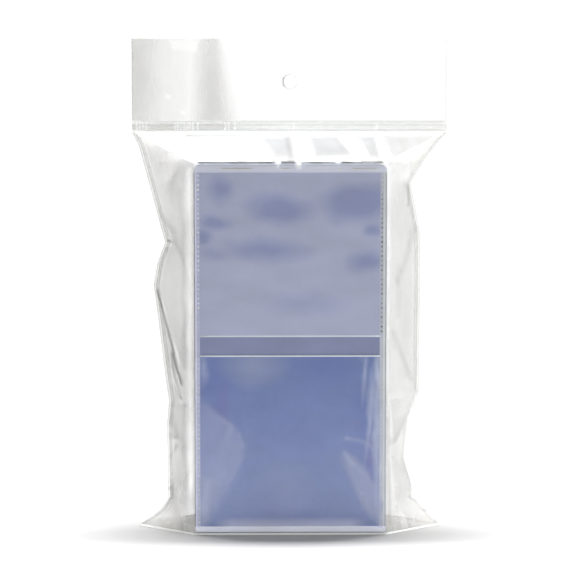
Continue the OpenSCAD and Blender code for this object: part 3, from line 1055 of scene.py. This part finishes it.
def zip_beads(face, side, name):
    """Clear ribs above and below the zip."""
    low, high = (-HALF_W + 0.3, SPLIT_X) if side == LEFT else (SPLIT_X, HALF_W - 0.3)
    x = np.linspace(low, high, 60) if face == FRONT else np.linspace(high, low, 60)
    y = MOUTH_Y + face * (PLY_Y + FILM_T)
    parts = [ribbon([(a, y, z) for a in x], 0.22, 0.5) for z in (KNEE_Z - 0.1, ZIP_TOP_Z - 0.3)]
    piece = add_mesh(name, *merge(parts), ZIP, smooth=False)
    give(piece, mark=0.08, sheen=1.2)
    blend_lip(piece)


zip_beads(FRONT, LEFT, "front_zip_beads_left")
zip_beads(FRONT, RIGHT, "front_zip_beads_right")
zip_beads(REAR, LEFT, "rear_zip_beads_left")
zip_beads(REAR, RIGHT, "rear_zip_beads_right")

# The flips


def knurl(x, y, z, size, rise, face):
    """A low four-sided dot."""
    base = [(x - size, y, z), (x, y, z - size), (x + size, y, z), (x, y, z + size)]
    points = base + [(x, y + face * rise, z), (x, y - face * 0.02, z)]
    faces = []
    for k in range(4):
        a, b = k, (k + 1) % 4
        faces.append((a, b, 4) if face == FRONT else (b, a, 4))
        faces.append((b, a, 5) if face == FRONT else (a, b, 5))
    return points, faces


# Pitch of the side welds' dots, and the left weld's distance from the middle
WELD_PITCH = 1.25
WELD_X = 24.4
# Stretches of the top weld where its dots are pressed deepest, with dots of painted shade beside them
WELD_DOTS = ((-18.7, -10.2), (-2.6, -0.3), (12.4, 13.4), (16.0, 22.8))


def build_flip_details(name, y, rise, face, body):
    """Knurled welds round the pockets: most dots painted lit, and those in the right weld's middle and beside the
    pressed top dots painted shade.
    """
    low_z, high_z = flip_low[2], flip_high[2]
    parts = []
    dark = []
    rough = np.random.default_rng(7)
    for z in np.arange(low_z + 1.8, high_z - 1.6, WELD_PITCH):
        if LOWER_MOUTH_Z - 0.4 < z < UPPER_MOUTH_Z + 0.4:
            continue
        plain = 1.0 if z < 36 or z > 60 else 0.6
        parts.append(knurl(-WELD_X, y, z, plain * rough.uniform(0.18, 0.36), rise, face))
        if 54 < z < 92:
            dark.append(knurl(WELD_X - 0.2, y, z, rough.uniform(0.16, 0.34), rise, face))
        else:
            parts.append(knurl(WELD_X - 0.2, y, z, rough.uniform(0.1, 0.26), rise, face))
    for x in np.arange(-23.1, 23.2, WELD_PITCH / 2):
        pressed = any(low < x < high for low, high in WELD_DOTS)
        parts.append(knurl(x, y, high_z - 1.25, rough.uniform(0.3, 0.42) if pressed else 0.1, rise, face))
        if pressed:
            dark.append(knurl(x + WELD_PITCH / 4, y, high_z - 0.95, rough.uniform(0.12, 0.22), rise, face))
        parts.append(knurl(x, y, low_z + 1.3, rough.uniform(0.06, 0.14), rise, face))
    for label, own, finish in (("_knurls", parts, KNURL), ("_shaded_knurls", dark, KNURL_SHADED)):
        piece = add_mesh(name + label, *merge(own), finish, smooth=False)
        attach(piece, body)


build_flip_details("front_flip", FLIP_FACE_Y, 0.21, FRONT, "bag")
build_flip_details("rear_flip", FLIP_BACK_Y, 0.21, REAR, "bag")
build_flip_details("drawn_flip", drawn_low[1], 0.03, FRONT, "drawn_flip")


def mouth_edges(name, y, size, body):
    """The rolled edges of the two pocket mouths, near-white as a painted highlight."""
    x = np.linspace(flip_low[0] + 1.3, flip_high[0] - 1.7, 20)
    parts = [rod([(a, y, z) for a in x], size, 0.2) for z in (LOWER_MOUTH_Z + 0.15, UPPER_MOUTH_Z + 0.25)]
    piece = add_mesh(name, *merge(parts), EDGE_BEAD)
    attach(piece, body)


mouth_edges("front_mouth_edges", FLIP_FACE_Y, 0.16, "bag")
mouth_edges("drawn_mouth_edges", drawn_low[1], 0.03, "drawn_flip")

FLIP_COUNT = 50
FINISHES = {1: FRONT_VINYL, 25: DRAWN_VINYL}


def finish_node(node_name, material):
    """Gives a CAD node its material."""
    found = frame["nodes"][node_name]
    found.data.materials.clear()
    found.data.materials.append(material)
    return found


for number in range(1, FLIP_COUNT + 1):
    finish_node(f"flip_{number:02d}", FINISHES.get(number, STACK_VINYL))
give(finish_node("bottom_seam", WELD), haze=0.3, mark=0.25)

# Stage, light and camera

# The floor disc: its radius, the distances between which it fades out, and its grey
FLOOR_R = 0.32
FLOOR_FADE = (0.13, 0.3)
FLOOR_GREY = (0.49, 0.49, 0.49)
# The camera: focal length, width of its sensor, place, and how far it is turned down and to the right
LENS_MM = 116.81
SENSOR_MM = 36
CAMERA_PLACE = (-6.96, -504.3, 106.62)
CAMERA_PITCH = math.radians(4.692)
CAMERA_YAW = math.radians(0.719)


def build_stage():
    """A white disc that fades out, so that the background stays white."""
    bpy.ops.mesh.primitive_circle_add(vertices=96, radius=FLOOR_R, fill_type="NGON", location=(0, 0, -0.0001))
    disc = bpy.context.object
    disc.name = "floor_disc"
    material, tree = new_material("floor_white")
    coords = node(tree, "TexCoord").outputs["Object"]
    distance = node(tree, "VectorMath", {0: coords}, operation="LENGTH").outputs["Value"]
    white = node(tree, "BsdfDiffuse", {"Color": FLOOR_GREY}).outputs[0]
    clear = node(tree, "BsdfTransparent").outputs[0]
    node(tree, "OutputMaterial", {0: mix_shader(tree, step_up(tree, distance, *FLOOR_FADE), white, clear)})
    disc.data.materials.append(material)


def build_world():
    """White behind the object, and a studio of softer greys for its light and reflections."""
    world = bpy.data.worlds.new("studio")
    bpy.context.scene.world = world
    world.use_nodes = True
    tree = world.node_tree
    tree.nodes.clear()
    direction = node(tree, "SeparateXYZ", {0: node(tree, "TexCoord").outputs["Generated"]})
    side = calc(tree, "MULTIPLY_ADD", direction.outputs[0], 0.18, 0.4)
    top = calc(tree, "MULTIPLY_ADD", calc(tree, "MAXIMUM", direction.outputs[2], 0.0), -0.25, side)
    studio = node(tree, "Background", {"Color": (1.0, 0.995, 0.98), "Strength": top}).outputs[0]
    white = node(tree, "Background", {"Color": (1, 1, 1), "Strength": 1.1}).outputs[0]
    seen = node(tree, "LightPath").outputs["Is Camera Ray"]
    node(tree, "OutputWorld", {0: mix_shader(tree, seen, studio, white)})


def area_light(name, place, target, width, height, watts):
    """A rectangular lamp at a place, turned to a target, all in metres."""
    light = bpy.data.lights.new(name, "AREA")
    light.shape = "RECTANGLE"
    light.size = width
    light.size_y = height
    light.energy = watts
    lamp = place_object(name, light)
    lamp.location = place
    lamp.rotation_euler = (Vector(target) - Vector(place)).to_track_quat("-Z", "Y").to_euler()


def build_camera():
    """The camera that the photograph's points give by least squares."""
    camera = bpy.data.cameras.new("camera")
    camera.lens = LENS_MM
    camera.sensor_width = SENSOR_MM
    camera.clip_start = 0.01
    camera.clip_end = 20
    holder = place_object("camera", camera)
    level = math.cos(CAMERA_PITCH)
    forward = Vector((math.sin(CAMERA_YAW) * level, math.cos(CAMERA_YAW) * level, -math.sin(CAMERA_PITCH)))
    holder.location = Vector(CAMERA_PLACE) * MM
    holder.rotation_euler = forward.to_track_quat("-Z", "Y").to_euler()
    bpy.context.scene.camera = holder


build_stage()
build_world()
area_light("top_softbox", (0, 0.15, 0.62), (0, 0.05, 0), 0.62, 0.32, 1.8)
area_light("top_key", (0, 0.055, 0.62), (0, 0.04, 0), 0.34, 0.06, 8.0)
area_light("right_softbox", (0.7, -0.25, 0.25), (0, 0, 0.05), 0.4, 0.5, 2.0)
area_light("front_fill", (-0.15, -0.9, 0.5), (0, 0, 0.05), 0.6, 0.5, 1.0)
build_camera()
scene = bpy.context.scene
scene.view_settings.view_transform = "Standard"
scene.cycles.transparent_max_bounces = 64
